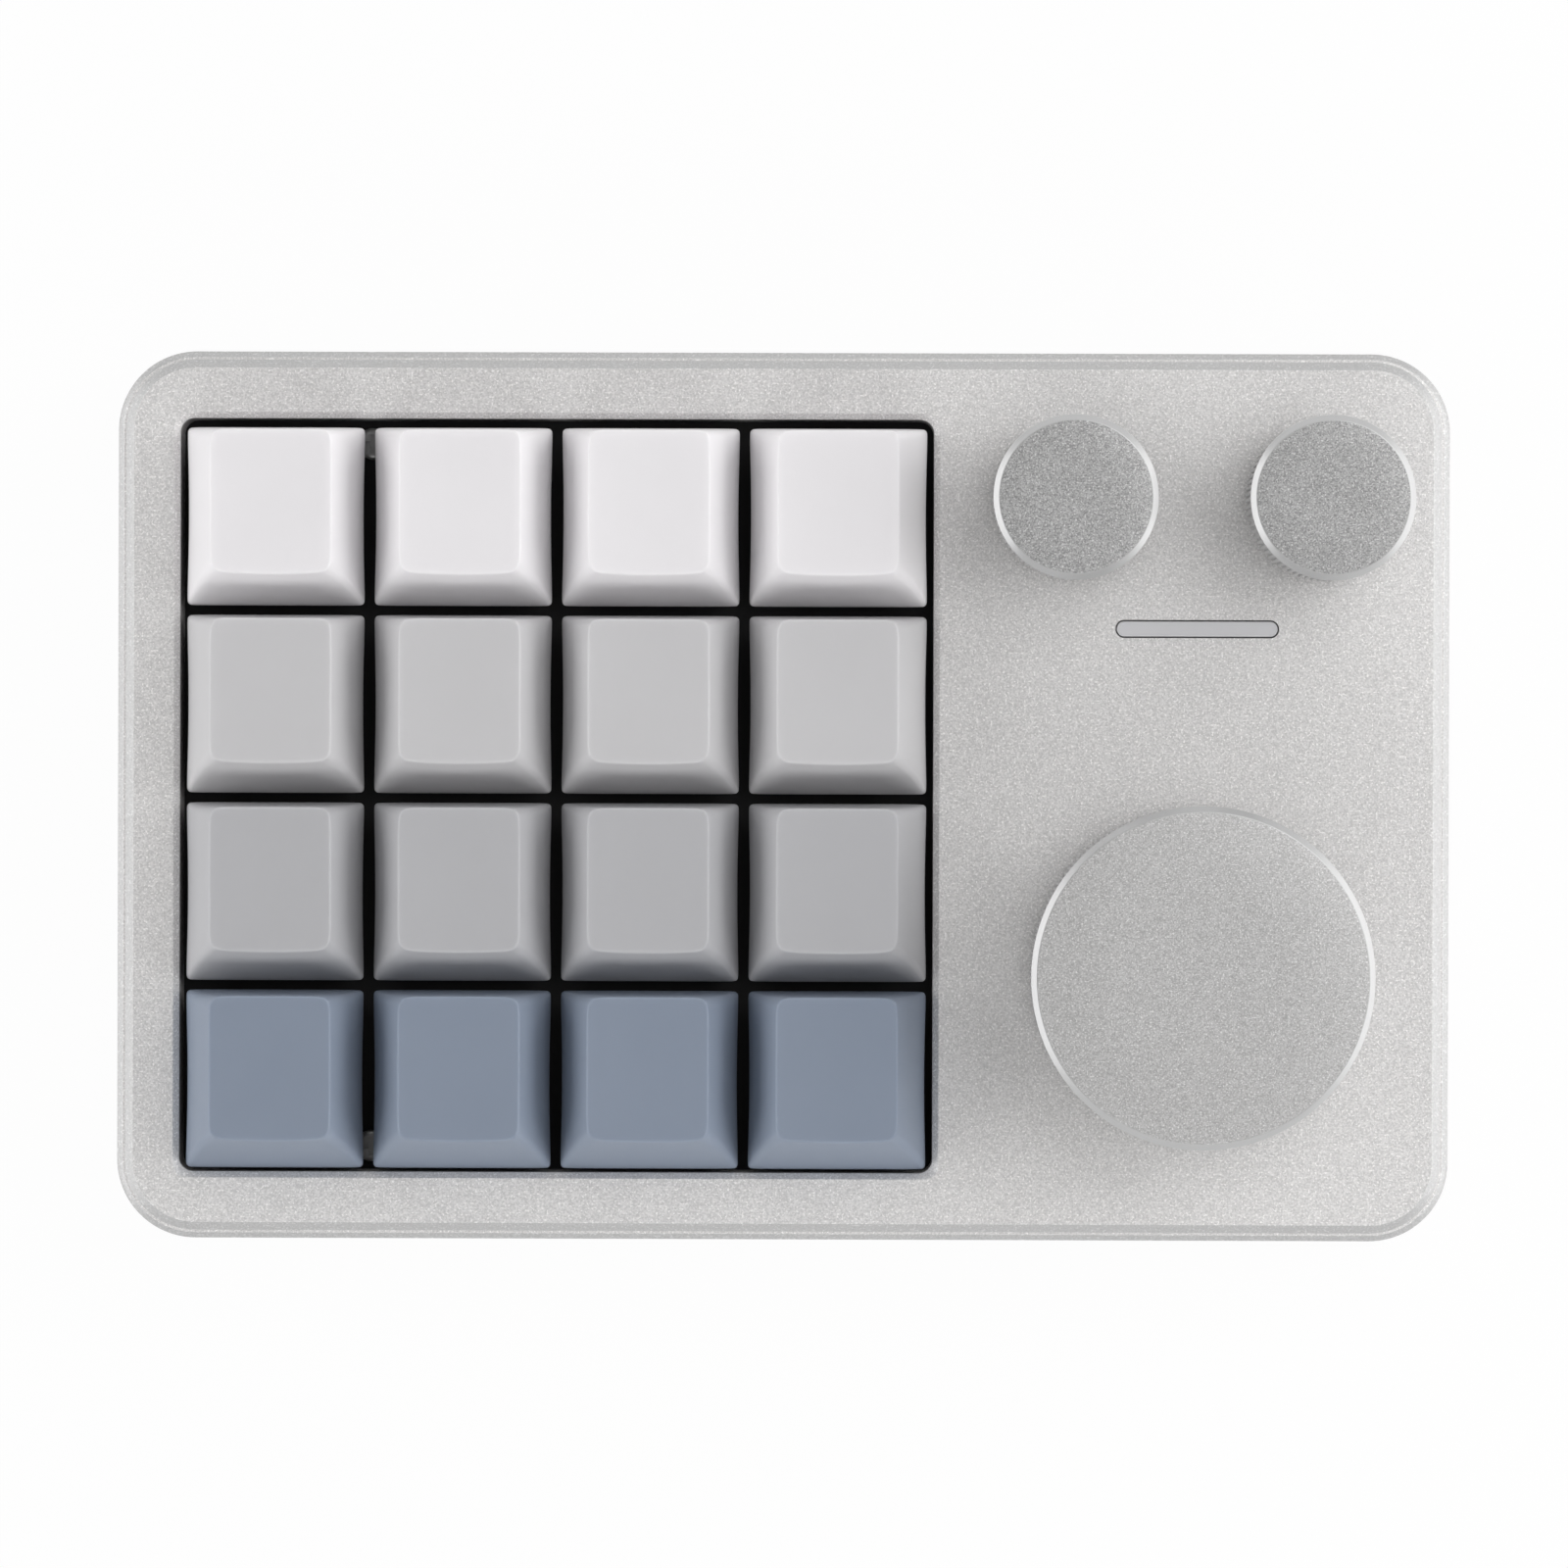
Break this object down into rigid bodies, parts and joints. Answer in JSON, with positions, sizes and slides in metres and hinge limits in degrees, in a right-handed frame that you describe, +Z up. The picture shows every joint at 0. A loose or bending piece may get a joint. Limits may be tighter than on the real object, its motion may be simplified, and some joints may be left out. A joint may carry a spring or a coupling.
{
  "type": "macro keypad with knobs",
  "caption": "Desk macro keypad in a stepped metal case: a square field of scooped keycaps on mechanical switches, push-and-turn ribbed knobs, a light bar and a rear USB-C port.",
  "frame": {"origin": "on the desk under the middle of the case, at the underside of the rubber feet", "axes": "+X to the right past the knobs, +Y away from the user towards the port, +Z up"},
  "size_m": [0.1354, 0.0902, 0.0363],
  "materials": {
    "case_aluminium": "bead-blasted, clear anodised, bright chamfers",
    "knob_aluminium": "bead-blasted top, polished chamfer, ribbed grip",
    "keycap_white": "satin moulded plastic",
    "keycap_light_grey": "satin moulded plastic",
    "keycap_grey": "satin moulded plastic",
    "keycap_blue_grey": "satin moulded plastic",
    "stem_plastic": "low-friction moulded plastic",
    "housing_black": "fine-textured moulded plastic",
    "plate_black": "black powder coat",
    "board_black": "glass-fibre board with black solder mask",
    "chip_black": "moulded packages",
    "screw_steel": "blackened steel",
    "standoff_brass": "turned brass",
    "port_steel": "stamped stainless shell",
    "spring_steel": "drawn spring wire",
    "bushing_steel": "plated steel",
    "shaft_steel": "turned and plated",
    "encoder_base": "moulded plastic",
    "rotor_plastic": "moulded plastic with printed track",
    "lens_grey": "frosted translucent light guide",
    "foot_rubber": "moulded silicone rubber"
  },
  "bodies": {
    "case": {"board_parts": "chip_black", "bottom_plate": "case_aluminium", "brass_standoffs": "standoff_brass", "case_screws": "screw_steel", "circuit_board": "board_black", "encoder_bases": "encoder_base", "encoder_bushings": "bushing_steel", "key_plate": "plate_black", "light_bar_lens": "lens_grey", "pan_screws": "screw_steel", "rubber_feet": "foot_rubber", "switch_lower_housings": "housing_black", "switch_springs": "spring_steel", "switch_upper_housings": "housing_black", "top_case": "case_aluminium", "usb_c_socket": "port_steel"},
    "key_r1c1": {"keycap_r1c1": "keycap_white", "stem_r1c1": "stem_plastic"},
    "key_r1c2": {"keycap_r1c2": "keycap_white", "stem_r1c2": "stem_plastic"},
    "key_r1c3": {"keycap_r1c3": "keycap_white", "stem_r1c3": "stem_plastic"},
    "key_r1c4": {"keycap_r1c4": "keycap_white", "stem_r1c4": "stem_plastic"},
    "key_r2c1": {"keycap_r2c1": "keycap_light_grey", "stem_r2c1": "stem_plastic"},
    "key_r2c2": {"keycap_r2c2": "keycap_light_grey", "stem_r2c2": "stem_plastic"},
    "key_r2c3": {"keycap_r2c3": "keycap_light_grey", "stem_r2c3": "stem_plastic"},
    "key_r2c4": {"keycap_r2c4": "keycap_light_grey", "stem_r2c4": "stem_plastic"},
    "key_r3c1": {"keycap_r3c1": "keycap_grey", "stem_r3c1": "stem_plastic"},
    "key_r3c2": {"keycap_r3c2": "keycap_grey", "stem_r3c2": "stem_plastic"},
    "key_r3c3": {"keycap_r3c3": "keycap_grey", "stem_r3c3": "stem_plastic"},
    "key_r3c4": {"keycap_r3c4": "keycap_grey", "stem_r3c4": "stem_plastic"},
    "key_r4c1": {"keycap_r4c1": "keycap_blue_grey", "stem_r4c1": "stem_plastic"},
    "key_r4c2": {"keycap_r4c2": "keycap_blue_grey", "stem_r4c2": "stem_plastic"},
    "key_r4c3": {"keycap_r4c3": "keycap_blue_grey", "stem_r4c3": "stem_plastic"},
    "key_r4c4": {"keycap_r4c4": "keycap_blue_grey", "stem_r4c4": "stem_plastic"},
    "rotor_back_left": {"encoder_rotor_back_left": "rotor_plastic"},
    "dial_back_left": {"knob_back_left": "knob_aluminium", "encoder_shaft_back_left": "shaft_steel", "grub_screw_back_left": "screw_steel"},
    "rotor_back_right": {"encoder_rotor_back_right": "rotor_plastic"},
    "dial_back_right": {"knob_back_right": "knob_aluminium", "encoder_shaft_back_right": "shaft_steel", "grub_screw_back_right": "screw_steel"},
    "rotor_front": {"encoder_rotor_front": "rotor_plastic"},
    "dial_front": {"knob_front": "knob_aluminium", "encoder_shaft_front": "shaft_steel", "grub_screw_front": "screw_steel"}
  },
  "joints": [
    {"name": "press_r1c1", "type": "slide", "parent": "case", "child": "key_r1c1", "axis": [0, 0, -1], "range_m": [0, 0.004], "stiffness_N_per_m": 60, "springref_m": -0.0075, "deforming": ["switch_springs"]},
    {"name": "press_r1c2", "type": "slide", "parent": "case", "child": "key_r1c2", "axis": [0, 0, -1], "range_m": [0, 0.004], "stiffness_N_per_m": 60, "springref_m": -0.0075, "deforming": ["switch_springs"]},
    {"name": "press_r1c3", "type": "slide", "parent": "case", "child": "key_r1c3", "axis": [0, 0, -1], "range_m": [0, 0.004], "stiffness_N_per_m": 60, "springref_m": -0.0075, "deforming": ["switch_springs"]},
    {"name": "press_r1c4", "type": "slide", "parent": "case", "child": "key_r1c4", "axis": [0, 0, -1], "range_m": [0, 0.004], "stiffness_N_per_m": 60, "springref_m": -0.0075, "deforming": ["switch_springs"]},
    {"name": "press_r2c1", "type": "slide", "parent": "case", "child": "key_r2c1", "axis": [0, 0, -1], "range_m": [0, 0.004], "stiffness_N_per_m": 60, "springref_m": -0.0075, "deforming": ["switch_springs"]},
    {"name": "press_r2c2", "type": "slide", "parent": "case", "child": "key_r2c2", "axis": [0, 0, -1], "range_m": [0, 0.004], "stiffness_N_per_m": 60, "springref_m": -0.0075, "deforming": ["switch_springs"]},
    {"name": "press_r2c3", "type": "slide", "parent": "case", "child": "key_r2c3", "axis": [0, 0, -1], "range_m": [0, 0.004], "stiffness_N_per_m": 60, "springref_m": -0.0075, "deforming": ["switch_springs"]},
    {"name": "press_r2c4", "type": "slide", "parent": "case", "child": "key_r2c4", "axis": [0, 0, -1], "range_m": [0, 0.004], "stiffness_N_per_m": 60, "springref_m": -0.0075, "deforming": ["switch_springs"]},
    {"name": "press_r3c1", "type": "slide", "parent": "case", "child": "key_r3c1", "axis": [0, 0, -1], "range_m": [0, 0.004], "stiffness_N_per_m": 60, "springref_m": -0.0075, "deforming": ["switch_springs"]},
    {"name": "press_r3c2", "type": "slide", "parent": "case", "child": "key_r3c2", "axis": [0, 0, -1], "range_m": [0, 0.004], "stiffness_N_per_m": 60, "springref_m": -0.0075, "deforming": ["switch_springs"]},
    {"name": "press_r3c3", "type": "slide", "parent": "case", "child": "key_r3c3", "axis": [0, 0, -1], "range_m": [0, 0.004], "stiffness_N_per_m": 60, "springref_m": -0.0075, "deforming": ["switch_springs"]},
    {"name": "press_r3c4", "type": "slide", "parent": "case", "child": "key_r3c4", "axis": [0, 0, -1], "range_m": [0, 0.004], "stiffness_N_per_m": 60, "springref_m": -0.0075, "deforming": ["switch_springs"]},
    {"name": "press_r4c1", "type": "slide", "parent": "case", "child": "key_r4c1", "axis": [0, 0, -1], "range_m": [0, 0.004], "stiffness_N_per_m": 60, "springref_m": -0.0075, "deforming": ["switch_springs"]},
    {"name": "press_r4c2", "type": "slide", "parent": "case", "child": "key_r4c2", "axis": [0, 0, -1], "range_m": [0, 0.004], "stiffness_N_per_m": 60, "springref_m": -0.0075, "deforming": ["switch_springs"]},
    {"name": "press_r4c3", "type": "slide", "parent": "case", "child": "key_r4c3", "axis": [0, 0, -1], "range_m": [0, 0.004], "stiffness_N_per_m": 60, "springref_m": -0.0075, "deforming": ["switch_springs"]},
    {"name": "press_r4c4", "type": "slide", "parent": "case", "child": "key_r4c4", "axis": [0, 0, -1], "range_m": [0, 0.004], "stiffness_N_per_m": 60, "springref_m": -0.0075, "deforming": ["switch_springs"]},
    {"name": "turn_back_left", "type": "hinge", "parent": "case", "child": "rotor_back_left", "pos_m": [0.0292, 0.03, 0.0203], "axis": [0, 0, 1], "continuous": true},
    {"name": "push_back_left", "type": "slide", "parent": "rotor_back_left", "child": "dial_back_left", "axis": [0, 0, -1], "range_m": [0, 0.0005], "stiffness_N_per_m": 2000, "springref_m": -0.0015},
    {"name": "turn_back_right", "type": "hinge", "parent": "case", "child": "rotor_back_right", "pos_m": [0.0548, 0.03, 0.0203], "axis": [0, 0, 1], "continuous": true},
    {"name": "push_back_right", "type": "slide", "parent": "rotor_back_right", "child": "dial_back_right", "axis": [0, 0, -1], "range_m": [0, 0.0005], "stiffness_N_per_m": 2000, "springref_m": -0.0015},
    {"name": "turn_front", "type": "hinge", "parent": "case", "child": "rotor_front", "pos_m": [0.042, -0.0179, 0.0203], "axis": [0, 0, 1], "continuous": true},
    {"name": "push_front", "type": "slide", "parent": "rotor_front", "child": "dial_front", "axis": [0, 0, -1], "range_m": [0, 0.0005], "stiffness_N_per_m": 2000, "springref_m": -0.0015}
  ]
}
